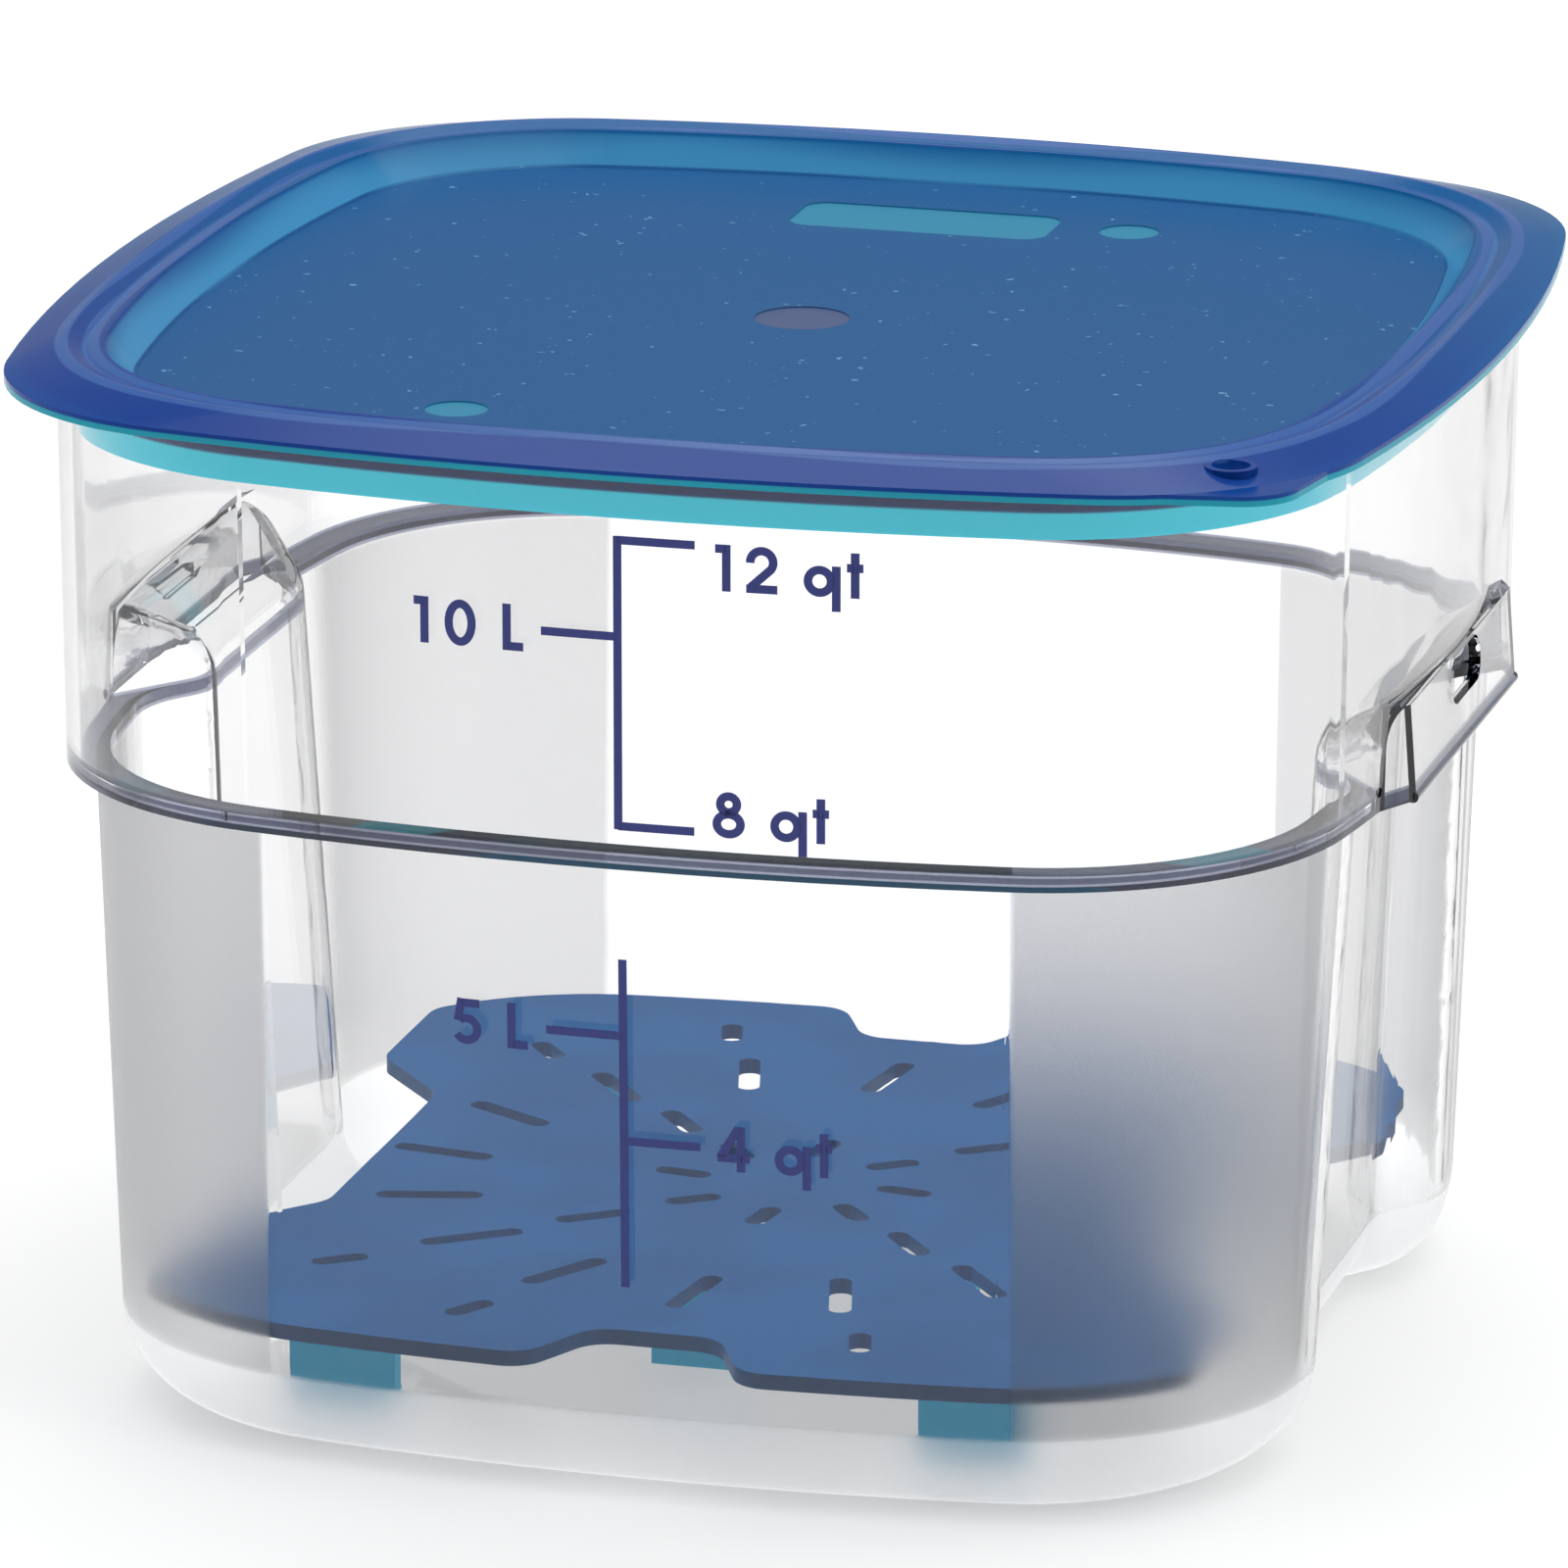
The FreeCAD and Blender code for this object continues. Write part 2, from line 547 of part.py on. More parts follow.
hollow = ring(lid_form, "lid_hollow_outline", SEAT + " - Sizes.skirt_depth", SKIRT_OUT + " - Sizes.skirt_wall")
pocket(lid_form, "lid_hollow", hollow,
       "Sizes.skirt_depth - Sizes.panel_drop - Sizes.panel_thickness", reverse=True)

groove_outside = new_body("lid_groove_outside")
groove_outline = ring(groove_outside, "lid_groove_outline", PANEL_UNDER, SKIRT_OUT + " - Sizes.skirt_wall")
pad(groove_outside, "lid_groove_block", groove_outline, GROOVE_TOP + " - " + PANEL_UNDER)
groove_inside = new_body("lid_groove_inside")
loft(groove_inside, "lid_slope_underside",
     ring(groove_inside, "lid_slope_under_foot", PANEL_UNDER, "Sizes.panel_half + 0.9"),
     ring(groove_inside, "lid_slope_under_top", GROOVE_TOP, "Sizes.ridge_half - 0.4"))
groove = cut("lid_groove", groove_outside, groove_inside)
lid_shell = cut("lid_shell", lid_form, groove)
lid = body_on(lid_shell, "lid")


def circle_outline(body, name, height, across, cx, cy):
    sketch = new_sketch(body, name, height=height)
    centre = Vector(value(cx), value(cy), 0)
    sketch.addGeometry(Part.Circle(centre, Vector(0, 0, 1), value(across) / 2.0))
    bind(sketch, "Radius", (0,), "(%s) / 2" % across)
    bind(sketch, "DistanceX", (-1, 1, 0, 3), cx)
    bind(sketch, "DistanceY", (-1, 1, 0, 3), cy)
    return sketch


RING_TOP = SEAT + " + Sizes.tab_ring_top"
pad(lid, "lid_tab_ring", circle_outline(lid, "lid_tab_ring_outline", RING_TOP, "Sizes.tab_ring",
                                        "Sizes.tab_hole_at", "-Sizes.tab_hole_at"),
    "Sizes.lip_thickness", reverse=True)
CREST_TOP = SEAT + " + Sizes.crest_rise"
pocket(lid, "lid_tab_hole", circle_outline(lid, "lid_tab_hole_outline", CREST_TOP, "Sizes.tab_hole",
                                           "Sizes.tab_hole_at", "-Sizes.tab_hole_at"),
       "Sizes.crest_rise + Sizes.lip_drop")
PANEL_TOP = SEAT + " - Sizes.panel_drop"
for name, across, cx, cy in (("gate", "Sizes.gate_disc", "0", "0"),
                             ("left_mark", "Sizes.mark_disc", "-Sizes.mark_x", "-Sizes.mark_y"),
                             ("right_mark", "Sizes.mark_disc", "Sizes.mark_x", "Sizes.mark_y")):
    pocket(lid, "lid_" + name, circle_outline(lid, "lid_" + name + "_outline", PANEL_TOP, across, cx, cy),
           "Sizes.mark_depth")

label = new_sketch(lid, "lid_label_outline", height=PANEL_TOP)
label_x = ["Sizes.label_x %s Sizes.label_width / 2" % sign for sign in "-+"]
label_y = ["Sizes.label_y %s Sizes.label_depth / 2" % sign for sign in "-+"]
polygon(label, ((label_x[0], label_y[0]), (label_x[1], label_y[0]),
                (label_x[1], label_y[1]), (label_x[0], label_y[1])))
pocket(lid, "lid_label", label, "Sizes.mark_depth")


def at_label_corner(middle, along):
    level = value(PANEL_TOP + " - Sizes.mark_depth / 2")
    near = abs(middle.x - value("Sizes.label_x")) < value("Sizes.label_width")
    return abs(along.z) > 0.9 and abs(middle.z - level) < 0.01 and near and middle.y > value("Sizes.mark_disc")


fillet(lid, "lid_label_corners", at_label_corner, "Sizes.label_round")


def slot_outline(sketch, angle, ring_radius, length):
    """Drain slot on a ring of the shelf, turned off the radius by the twist."""
    base = sketch.GeometryCount
    angle = "(%s * 1 deg)" % angle
    lean = "(%s + Sizes.slot_twist * 1 deg)" % angle
    reach = "((%s) - Sizes.drain_slot) / 2" % length
    ends = []
    for sign in ("+", "-"):
        ends.append(("%s * cos(%s) %s %s * cos(%s)" % (ring_radius, angle, sign, reach, lean),
                     "%s * sin(%s) %s %s * sin(%s)" % (ring_radius, angle, sign, reach, lean)))
    turn = math.radians(value("%s / 1 deg" % lean))
    r = value("Sizes.drain_slot") / 2.0
    half = math.pi / 2.0
    side = Vector(-math.sin(turn), math.cos(turn), 0) * r
    far, near = [Vector(value(x), value(y), 0) for x, y in ends]
    sketch.addGeometry(arc(far.x, far.y, r, turn - half, turn + half))
    sketch.addGeometry(Part.LineSegment(far + side, near + side))
    sketch.addGeometry(arc(near.x, near.y, r, turn + half, turn + 3.0 * half))
    sketch.addGeometry(Part.LineSegment(near - side, far - side))
    for i in range(4):
        sketch.addConstraint(Sketcher.Constraint("Tangent", base + i, 2, base + (i + 1) % 4, 1))
    bind(sketch, "Radius", (base,), "Sizes.drain_slot / 2")
    for i, (x, y) in zip((base, base + 2), ends):
        bind(sketch, "DistanceX", (-1, 1, i, 3), x)
        bind(sketch, "DistanceY", (-1, 1, i, 3), y)
    return sketch


def polar(body, name, feature, count):
    pattern = body.newObject("PartDesign::PolarPattern", name)
    pattern.Originals = [feature]
    pattern.Axis = (plane(body, "Z_Axis"), [""])
    pattern.Angle = 360
    pattern.Occurrences = count
    body.Tip = pattern
    doc.recompute()
    return pattern


# Drain shelf: a slotted plate on six channel legs, with a notch front and back to lift it by.
shelf = new_body("drain_shelf")
PLATE_UNDER = "(Sizes.shelf_top - Sizes.shelf_plate)"
plate = bowed_square(shelf, "shelf_outline", PLATE_UNDER, "Sizes.shelf_half", "Sizes.shelf_bow",
                     "Sizes.ear_corner")
pad(shelf, "shelf_plate", plate, "Sizes.shelf_plate")
waist = new_sketch(shelf, "shelf_waist_outline", height="Sizes.shelf_top")
polygon(waist, (("Sizes.ear_half", "-Sizes.shelf_half"), ("Sizes.shelf_half + 10", "-Sizes.shelf_half"),
                ("Sizes.shelf_half + 10", "Sizes.shelf_half"), ("Sizes.ear_half", "Sizes.shelf_half"),
                ("Sizes.ear_half", "Sizes.ear_start"), ("Sizes.waist_half", "Sizes.waist_length"),
                ("Sizes.waist_half", "-Sizes.waist_length"), ("Sizes.ear_half", "-Sizes.ear_start")))
polar(shelf, "shelf_waists", pocket(shelf, "shelf_waist", waist, "Sizes.shelf_plate"), 2)
notch = new_sketch(shelf, "shelf_notch_outline", height="Sizes.shelf_top")
notch_floor = "-(Sizes.shelf_half - Sizes.notch_depth)"
notch_out = "-(Sizes.shelf_half + 5)"
notch_wide = "(Sizes.notch_half + (Sizes.notch_mouth - Sizes.notch_half) * (1 + 5 / Sizes.notch_depth))"
polygon(notch, (("-Sizes.notch_half", notch_floor), ("-" + notch_wide, notch_out),
                (notch_wide, notch_out), ("Sizes.notch_half", notch_floor)))
polar(shelf, "shelf_notches", pocket(shelf, "shelf_notch", notch, "Sizes.shelf_plate"), 2)


def at_notch_corner(middle, along):
    return abs(along.z) > 0.9 and abs(middle.x) < value("Sizes.notch_mouth") + 1


def at_ear_corner(middle, along):
    return abs(along.z) > 0.9 and abs(middle.x) > value("Sizes.waist_half") - 1


fillet(shelf, "shelf_notch_rounds", at_notch_corner, "Sizes.notch_round")
fillet(shelf, "shelf_ear_rounds", at_ear_corner, "Sizes.ear_round")

for name, count, radius, length, angles in (
        ("first", 8, "Sizes.ring_one", "Sizes.short_slot", ("0",)),
        ("second", 4, "Sizes.ring_two", "Sizes.middle_slot", ("45",)),
        ("third", 16, "Sizes.ring_three", "Sizes.long_slot", ("0",)),
        ("fourth", 2, "Sizes.ring_four", "Sizes.short_slot", ("45", "67.5", "112.5", "135"))):
    slots = new_sketch(shelf, "shelf_%s_slots_outline" % name, height="Sizes.shelf_top")
    for angle in angles:
        slot_outline(slots, angle, radius, length)
    polar(shelf, "shelf_%s_ring" % name,
          pocket(shelf, "shelf_%s_slots" % name, slots, "Sizes.shelf_plate"), count)

legs = new_sketch(shelf, "shelf_leg_outlines", height=PLATE_UNDER)


def leg_outline(cx, face):
    half = "Sizes.leg_width / 2"
    outer = "(Sizes.leg_flange_at + Sizes.leg_wall / 2)"
    inner = "(Sizes.leg_flange_at - Sizes.leg_wall / 2)"
    back = "%s + Sizes.leg_wall" % face
    deep = "%s + Sizes.leg_flange" % face
    corners = (("-", half, face), ("+", half, face), ("+", half, back), ("+", outer, back),
               ("+", outer, deep), ("+", inner, deep), ("+", inner, back), ("-", inner, back),
               ("-", inner, deep), ("-", outer, deep), ("-", outer, back), ("-", half, back))
    return [("%s %s %s" % (cx, sign, x), y) for sign, x, y in corners]


for cx, face in (("Sizes.leg_shift - Sizes.leg_x", "-Sizes.leg_y"),
                 ("Sizes.leg_shift + Sizes.leg_x", "-Sizes.leg_y"),
                 ("Sizes.leg_shift - Sizes.inner_leg_x", "-Sizes.inner_leg_y")):
    polygon(legs, leg_outline(cx, face))
leg_pad = pad(shelf, "shelf_legs_front", legs, PLATE_UNDER + " - Sizes.wall", reverse=True)
polar(shelf, "shelf_legs", leg_pad, 2)

rib = new_sketch(shelf, "shelf_rib_outline", height=PLATE_UNDER)
rib_ends = ("Sizes.rib_at - Sizes.rib_length / 2", "Sizes.rib_at + Sizes.rib_length / 2")
rib_sides = ("Sizes.rib_at - Sizes.rib_width / 2", "Sizes.rib_at + Sizes.rib_width / 2")
polygon(rib, ((rib_ends[0], rib_sides[0]), (rib_ends[1], rib_sides[0]),
              (rib_ends[1], rib_sides[1]), (rib_ends[0], rib_sides[1])))
polar(shelf, "shelf_ribs", pad(shelf, "shelf_rib", rib, "Sizes.rib_depth", reverse=True), 4)

shelf.setExpression("Placement.Base.x", "Sizes.shelf_shift")
doc.recompute()

for item in doc.Objects:
    if "Invalid" in item.State or "Error" in item.State:
        raise RuntimeError("%s: %s" % (item.Name, item.State))

os.makedirs("parts", exist_ok=True)
for piece in (container, lid, shelf):
    if piece.Shape.isNull() or not piece.Shape.isValid() or len(piece.Shape.Solids) != 1:
        raise RuntimeError(piece.Label + " is no single valid solid")
    piece.Shape.exportStep("parts/%s.step" % piece.Label)
    print(piece.Label, "volume", round(piece.Shape.Volume), piece.Shape.BoundBox)
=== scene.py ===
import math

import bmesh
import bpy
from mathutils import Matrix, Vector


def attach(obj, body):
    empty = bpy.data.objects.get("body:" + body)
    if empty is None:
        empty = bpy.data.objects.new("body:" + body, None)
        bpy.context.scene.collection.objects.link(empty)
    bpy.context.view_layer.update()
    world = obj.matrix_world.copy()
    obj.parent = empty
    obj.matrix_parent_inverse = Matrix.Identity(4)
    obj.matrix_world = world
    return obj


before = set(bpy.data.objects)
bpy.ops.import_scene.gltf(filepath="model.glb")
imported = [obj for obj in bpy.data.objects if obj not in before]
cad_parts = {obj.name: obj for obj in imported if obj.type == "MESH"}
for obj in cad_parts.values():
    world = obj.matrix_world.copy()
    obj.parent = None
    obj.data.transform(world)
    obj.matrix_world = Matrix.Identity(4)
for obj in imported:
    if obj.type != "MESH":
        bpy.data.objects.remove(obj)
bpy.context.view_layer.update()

# %% [markdown]
# A clear food container looks like almost nothing: what the eye reads is the light that
# its walls bend and lose. The solids come from the CAD frame and stay as they are. This
# lesson gives them plastics that let light through, prints the volume marks on the front
# wall and sets up the camera and the studio.

MM = 0.001
scene = bpy.context.scene
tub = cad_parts["container_body"]
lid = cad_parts["lid"]
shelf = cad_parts["drain_shelf"]
for node in (tub, lid, shelf):
    print(node.name, "faces", len(node.data.polygons))

# %% [markdown]
# The camera stands where the photographer's did. Its place comes from lines fitted along
# the rim, the ledge and the base, so it is given as an angle round the container, a
# height angle and a distance. A long lens from far away keeps the far wall almost as
# large as the near one. The small shift moves the frame, not the viewpoint.

# %% The camera
AZIMUTH, ELEVATION, ROLL = (math.radians(a) for a in (15.22, 16.15, 0.22))
DISTANCE = 2589.7 * MM
AIM = Vector((0, 0, 103.85 * MM))
FRAME_WIDTH = 1600  # the photograph's width, which the next two lines are measured in
FOCAL_LENGTH = 12962
SHIFT = (-16.59, 44.37)
SENSOR = 36


def camera_axes():
    """Right, up and backward directions of the camera, with its small roll."""
    back = Vector((math.sin(AZIMUTH) * math.cos(ELEVATION),
                   -math.cos(AZIMUTH) * math.cos(ELEVATION), math.sin(ELEVATION)))
    right = (-back).cross(Vector((0, 0, 1))).normalized()
    up = right.cross(-back)
    turned = right * math.cos(ROLL) + up * math.sin(ROLL)
    return turned, up * math.cos(ROLL) - right * math.sin(ROLL), back


def add_camera():
    data = bpy.data.cameras.new("camera")
    data.sensor_width = SENSOR
    data.lens = FOCAL_LENGTH / FRAME_WIDTH * SENSOR
    data.shift_x, data.shift_y = (part / FRAME_WIDTH for part in SHIFT)
    data.clip_end = 50
    camera = bpy.data.objects.new("camera", data)
    scene.collection.objects.link(camera)
    right, up, back = camera_axes()
    turn = Matrix((right, up, back)).transposed().to_4x4()
    camera.matrix_world = Matrix.Translation(AIM + back * DISTANCE) @ turn
    scene.camera = camera
    print("camera at", [round(c, 3) for c in camera.matrix_world.translation])


add_camera()

# %% [markdown]
# Clear plastic shows only what surrounds it. A floor and sky of one white would make the
# tub vanish. Here the floor is white and the sky a middle grey, so that walls seen edge on
# mirror something darker than what lies behind them. Large lamps to the sides and above
# keep the light soft. Focused light through the plastic would only add noise, so the
# render leaves it out and the plastics let plain shadow rays pass instead.

# %% The floor and the studio light
FLOOR_SIZE = 14
FLOOR_MIDDLE = (0, 3, 0)
LAMP_TARGET = Vector((0, 0, 0.1))
SKY_GREY = (0.34, 0.34, 0.345)
BOUNCES = 14


def add_floor():
    bpy.ops.mesh.primitive_plane_add(size=FLOOR_SIZE, location=FLOOR_MIDDLE)
    floor = bpy.context.object
    floor.name = "floor"
    paint = bpy.data.materials.new("studio_floor")
    paint.use_nodes = True
    shader = paint.node_tree.nodes["Principled BSDF"]
    shader.inputs["Base Color"].default_value = (0.93, 0.93, 0.93, 1)
    shader.inputs["Roughness"].default_value = 0.9
    shader.inputs["Specular IOR Level"].default_value = 0.1
    floor.data.materials.append(paint)


def add_lamp(name, place, size, power):
    data = bpy.data.lights.new(name, "AREA")
    data.shape = "RECTANGLE"
    data.size, data.size_y = size
    data.energy = power
    lamp = bpy.data.objects.new(name, data)
    scene.collection.objects.link(lamp)
    lamp.location = place
    lamp.rotation_euler = (LAMP_TARGET - Vector(place)).to_track_quat("-Z", "Y").to_euler()
    print(name, "power", power)


def add_sky(shade, strength):
    world = bpy.data.worlds.new("studio")
    world.use_nodes = True
    sky = world.node_tree.nodes["Background"]
    sky.inputs["Color"].default_value = (*shade, 1)
    sky.inputs["Strength"].default_value = strength
    scene.world = world


add_floor()
add_lamp("lamp_above", (0.2, 0.7, 2.4), (2.8, 2.8), 66)
add_lamp("lamp_left", (-2.2, -0.8, 1.1), (1.2, 1.8), 20)
add_lamp("lamp_right", (2.2, -0.6, 1.0), (1.0, 1.8), 16)
add_sky(SKY_GREY, 1.0)
scene.view_settings.view_transform = "Standard"
scene.cycles.caustics_reflective = False
scene.cycles.caustics_refractive = False
scene.cycles.max_bounces = BOUNCES
scene.cycles.transmission_bounces = BOUNCES
print("light passes through at most", BOUNCES, "surfaces")

# %% [markdown]
# Several finishes change with the place on the piece: frosted corners, a matte panel, a
# teal skirt. Each is a soft mask made from the Object coordinates, which are metres in
# the same frame as the CAD. These helpers keep the node code short.

# %% The grain that all three plastics share


def make_moulded_grain():
    """Node group: a fine noise, held back by a mask."""
    group = bpy.data.node_groups.new("moulded_grain", "ShaderNodeTree")
    inputs = {"Place": "NodeSocketVector", "Scale": "NodeSocketFloat", "Mask": "NodeSocketFloat"}
    for name, kind in inputs.items():
        group.interface.new_socket(name=name, in_out="INPUT", socket_type=kind)
    group.interface.new_socket(name="Height", in_out="OUTPUT", socket_type="NodeSocketFloat")
    inlet = group.nodes.new("NodeGroupInput")
    outlet = group.nodes.new("NodeGroupOutput")
    noise = group.nodes.new("ShaderNodeTexNoise")
    noise.inputs["Detail"].default_value = 0.0
    held = group.nodes.new("ShaderNodeMath")
    held.operation = "MULTIPLY"
    group.links.new(inlet.outputs["Place"], noise.inputs["Vector"])
    group.links.new(inlet.outputs["Scale"], noise.inputs["Scale"])
    group.links.new(noise.outputs["Fac"], held.inputs[0])
    group.links.new(inlet.outputs["Mask"], held.inputs[1])
    group.links.new(held.outputs[0], outlet.inputs["Height"])
    print("group", group.name, "with", len(group.nodes), "nodes")
    return group


moulded_grain = make_moulded_grain()

# %% Helpers for node materials
SPOT_SOFT = 0.15


class Recipe:
    """A material under construction, with short names for the nodes it needs."""

    def __init__(self, name):
        self.material = bpy.data.materials.new(name)
        self.material.use_nodes = True
        self.nodes = self.material.node_tree.nodes
        self.links = self.material.node_tree.links
        self.shader = self.nodes["Principled BSDF"]
        place = self.nodes.new("ShaderNodeTexCoord")
        self.place = place.outputs["Object"]
        split = self.nodes.new("ShaderNodeSeparateXYZ")
        self.links.new(self.place, split.inputs[0])
        self.x, self.y, self.z = split.outputs

    def set(self, **values):
        for name, value in values.items():
            self.shader.inputs[name.replace("_", " ")].default_value = value

    def feed(self, socket, target):
        if hasattr(socket, "links"):
            self.links.new(socket, target)
        else:
            target.default_value = socket

    def math(self, operation, *values):
        node = self.nodes.new("ShaderNodeMath")
        node.operation = operation
        for value, target in zip(values, node.inputs):
            self.feed(value, target)
        return node.outputs[0]

    def ramp(self, value, low, high):
        """0 up to low, 1 from high on, soft between. With low above high it falls."""
        node = self.nodes.new("ShaderNodeMapRange")
        node.interpolation_type = "SMOOTHSTEP"
        self.feed(value, node.inputs["Value"])
        if low < high:
            ends = (low, high, 0, 1)
        else:
            ends = (high, low, 1, 0)
        for target, end in zip(("From Min", "From Max", "To Min", "To Max"), ends):
            node.inputs[target].default_value = end
        return node.outputs["Result"]

    def colour(self, mask, first, second):
        node = self.nodes.new("ShaderNodeMix")
        node.data_type = "RGBA"
        self.feed(mask, node.inputs["Factor"])
        for value, target in ((first, node.inputs[6]), (second, node.inputs[7])):
            self.feed(value if hasattr(value, "links") else (*value, 1), target)
        return node.outputs[2]

    def noise(self, scale, detail):
        node = self.nodes.new("ShaderNodeTexNoise")
        self.links.new(self.place, node.inputs["Vector"])
        node.inputs["Scale"].default_value = scale
        node.inputs["Detail"].default_value = detail
        return node.outputs["Fac"]

    def near(self, x, y, radius):
        """1 within a circle around x, y in millimetres, soft at its edge."""
        across = self.math("POWER", self.math("SUBTRACT", self.x, x * MM), 2)
        along = self.math("POWER", self.math("SUBTRACT", self.y, y * MM), 2)
        away = self.math("SQRT", self.math("ADD", across, along))
        return self.ramp(away, (radius + SPOT_SOFT) * MM, (radius - SPOT_SOFT) * MM)

    def band(self, value, low, high, soft):
        """1 between low and high, in millimetres."""
        up = self.ramp(value, (low - soft) * MM, (low + soft) * MM)
        down = self.ramp(value, (high + soft) * MM, (high - soft) * MM)
        return self.math("MULTIPLY", up, down)

    def edge_on(self, blend):
        """0 where the surface faces the eye, 1 where it is seen edge on."""
        node = self.nodes.new("ShaderNodeLayerWeight")
        node.inputs["Blend"].default_value = blend
        return node.outputs["Facing"]

    def grain(self, scale, mask, distance):
        """Fine moulded grain, as a bump of the given depth where the mask is 1."""
        node = self.nodes.new("ShaderNodeGroup")
        node.node_tree = moulded_grain
        self.links.new(self.place, node.inputs["Place"])
        self.feed(scale, node.inputs["Scale"])
        self.feed(mask, node.inputs["Mask"])
        self.bump(node.outputs["Height"], distance)

    def bump(self, height, distance):
        node = self.nodes.new("ShaderNodeBump")
        node.inputs["Distance"].default_value = distance
        self.feed(height, node.inputs["Height"])
        self.links.new(node.outputs["Normal"], self.shader.inputs["Normal"])

    def lets_shadows_through(self, tint):
        """Light reaches what is behind, as through real clear plastic."""
        path = self.nodes.new("ShaderNodeLightPath")
        clear = self.nodes.new("ShaderNodeBsdfTransparent")
        clear.inputs["Color"].default_value = (*tint, 1)
        mix = self.nodes.new("ShaderNodeMixShader")
        out = self.nodes["Material Output"]
        self.links.new(path.outputs["Is Shadow Ray"], mix.inputs[0])
        self.links.new(self.shader.outputs[0], mix.inputs[1])
        self.links.new(clear.outputs[0], mix.inputs[2])
        self.links.new(mix.outputs[0], out.inputs["Surface"])


def in_metres(pair):
    """Both ends of a soft step, given in millimetres."""
    return [end * MM for end in pair]


def dress(node, recipe):
    """Puts a finished material into every slot of a piece."""
    if not node.data.materials:
        node.data.materials.append(recipe.material)
    for i in range(len(node.data.materials)):
        node.data.materials[i] = recipe.material
    print(node.name, "wears", recipe.material.name)


# %% [markdown]
# The tub looks like polycarbonate, clear as glass. Its lower corners and foot look
# frosted, as from a textured mould, so what lies behind them blurs with distance.
# One shader does both: the frost raises the roughness, adds a fine grain and takes a
# colour of its own. In the photograph the walls turn grey where they are seen edge on,
# and the ledge is a dark violet grey. Both take a darker colour as painted shade, in
# place of the light that the clear plastic loses there. A faint glow at the foot is
# painted light that lightens it.
#
# Where two numbers stand together below, a mask starts at the first and is full at the
# second. All places are in millimetres.

# %% Where the tub is frosted, and its colours
BLACK = (0, 0, 0)
CLEAR_HALF = (75.4, 76.2)  # the clear strip of each wall ends here, to both sides
CORNER_START = (58, 74)
LEDGE_UNDER, LEDGE_OVER = 133.2, 136.2
FOOT_SEAM = (18.9, 17.9)

CLEAR_WALL = (0.975, 0.975, 0.977)
WALL_EDGE_ON_PAINTED_SHADE = (0.08, 0.08, 0.083)
FROSTED_CORNER = (0.73, 0.73, 0.733)
FROSTED_FOOT = (0.95, 0.95, 0.952)
LEDGE_PAINTED_SHADE = (0.09, 0.1, 0.16)
FOOT_PAINTED_GLOW = (0.06, 0.06, 0.06)
print("clear strip of each wall", 2 * CLEAR_HALF[0], "mm wide, frosted foot up to", FOOT_SEAM[0])

# %% The clear and frosted tub


def make_tub_plastic():
    r = Recipe("clear_polycarbonate")
    r.set(Transmission_Weight=1.0, IOR=1.43, Emission_Strength=1.0)
    beside = r.ramp(r.math("ABSOLUTE", r.x), *in_metres(CLEAR_HALF))
    facing = r.ramp(r.math("ABSOLUTE", r.y), *in_metres(CORNER_START))
    lower = r.ramp(r.z, LEDGE_UNDER * MM, (LEDGE_UNDER - 0.6) * MM)
    foot = r.ramp(r.z, *in_metres(FOOT_SEAM))
    corners = r.math("MULTIPLY", r.math("MULTIPLY", beside, facing), lower)
    frost = r.math("MAXIMUM", corners, foot)
    ledge = r.band(r.z, LEDGE_UNDER, LEDGE_OVER, 0.15)
    # Walls seen edge on turn grey: painted shade mixed into the clear colour.
    edge_on_painted_shade = r.math("POWER", r.edge_on(0.5), 3.0)
    clear = r.colour(edge_on_painted_shade, CLEAR_WALL, WALL_EDGE_ON_PAINTED_SHADE)
    cloudy = r.colour(foot, FROSTED_CORNER, FROSTED_FOOT)
    plain = r.colour(frost, clear, cloudy)
    # The ledge takes a dark violet grey: painted shade.
    r.links.new(r.colour(ledge, plain, LEDGE_PAINTED_SHADE), r.shader.inputs["Base Color"])
    # The frosted foot glows a little: painted light that lightens it.
    r.links.new(r.colour(foot, BLACK, FOOT_PAINTED_GLOW), r.shader.inputs["Emission Color"])
    r.links.new(r.math("MULTIPLY", frost, 0.4), r.shader.inputs["Roughness"])
    r.grain(2600, frost, 0.02 * MM)
    r.lets_shadows_through((0.985, 0.985, 0.985))
    return r


dress(tub, make_tub_plastic())

# %% [markdown]
# The lid is one moulding in a translucent blue. Its skirt shows as bright teal, lifted by
# a glow that is painted light, and the wide rim stays deep blue. The panel has a fine
# matte grain with small bright specks. Two round pads and a bare label pad are lighter,
# and a disc in the middle is greyer. The rings of the rim follow one rounded square, so
# one number that grows outwards across them places every line of the rim. The tops of
# the crests take a lighter blue, a painted highlight. In the photograph the slope inside
# the rim grows lighter towards the panel, and the rim is a little greener at the back.
# Soft masks paint both in by place, as painted light: how the light makes them so can't
# be told from one picture.

# %% Masks that follow the lid's shape
LABEL_MIDDLE, LABEL_HALF, LABEL_ROUND = (2.3, 88.6), (27.5, 10.75), 5


def ring_number(r):
    """Grows outwards across the rings of the rim: about half the lid's width there."""
    fourth = [r.math("POWER", r.math("ABSOLUTE", axis), 4) for axis in (r.x, r.y)]
    return r.math("POWER", r.math("ADD", *fourth), 0.25)


def label_mask(r):
    """1 on the label pad, whose corners are round."""
    past = []
    for axis, middle, half in zip((r.x, r.y), LABEL_MIDDLE, LABEL_HALF):
        away = r.math("ABSOLUTE", r.math("SUBTRACT", axis, middle * MM))
        beyond = r.math("MAXIMUM", r.math("SUBTRACT", away, (half - LABEL_ROUND) * MM), 0)
        past.append(r.math("POWER", beyond, 2))
    from_core = r.math("SQRT", r.math("ADD", *past))
    return r.ramp(from_core, (LABEL_ROUND + 0.1) * MM, (LABEL_ROUND - 0.1) * MM)


